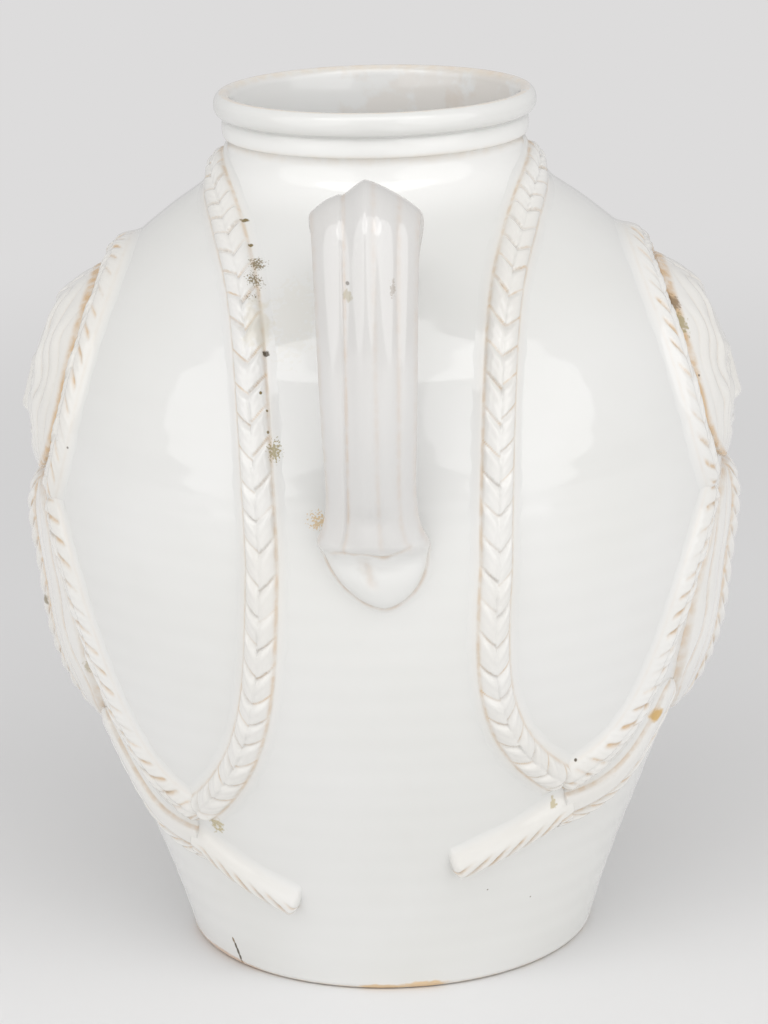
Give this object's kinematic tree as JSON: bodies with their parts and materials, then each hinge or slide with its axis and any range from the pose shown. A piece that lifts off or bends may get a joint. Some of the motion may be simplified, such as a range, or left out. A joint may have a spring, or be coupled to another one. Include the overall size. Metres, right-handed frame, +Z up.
{
  "type": "face vase",
  "caption": "Glazed earthenware vase with a swelling body, short collared neck, ribbed strap handles, relief face masks and applied plaits, for flowers.",
  "frame": {"origin": "on the table under the middle of the foot", "axes": "+Z up along the pot's axis, the front handle faces -Y, the masks face -X and +X"},
  "size_m": [0.2256, 0.2556, 0.27],
  "materials": {
    "wall_glaze": "glossy white tin glaze",
    "relief_glaze": "glossy white tin glaze, thin and tan on the edges of the relief",
    "strap_glaze": "glossy white tin glaze, thin and tan on the ribs"
  },
  "bodies": {
    "root": {"pot_body": "wall_glaze", "front_handle": "strap_glaze", "back_handle": "strap_glaze", "left_mask": "relief_glaze", "right_mask": "relief_glaze", "left_beard": "relief_glaze", "right_beard": "relief_glaze", "front_left_neck_plait": "relief_glaze", "front_right_neck_plait": "relief_glaze", "back_left_neck_plait": "relief_glaze", "back_right_neck_plait": "relief_glaze", "front_left_temple_plait": "relief_glaze", "front_right_temple_plait": "relief_glaze", "back_left_temple_plait": "relief_glaze", "back_right_temple_plait": "relief_glaze", "front_left_jaw_plait": "relief_glaze", "front_right_jaw_plait": "relief_glaze", "back_left_jaw_plait": "relief_glaze", "back_right_jaw_plait": "relief_glaze", "front_left_ribbon": "relief_glaze", "front_right_ribbon": "relief_glaze", "back_left_ribbon": "relief_glaze", "back_right_ribbon": "relief_glaze", "front_left_tail": "relief_glaze", "front_right_tail": "relief_glaze", "back_left_tail": "relief_glaze", "back_right_tail": "relief_glaze"}
  },
  "joints": []
}
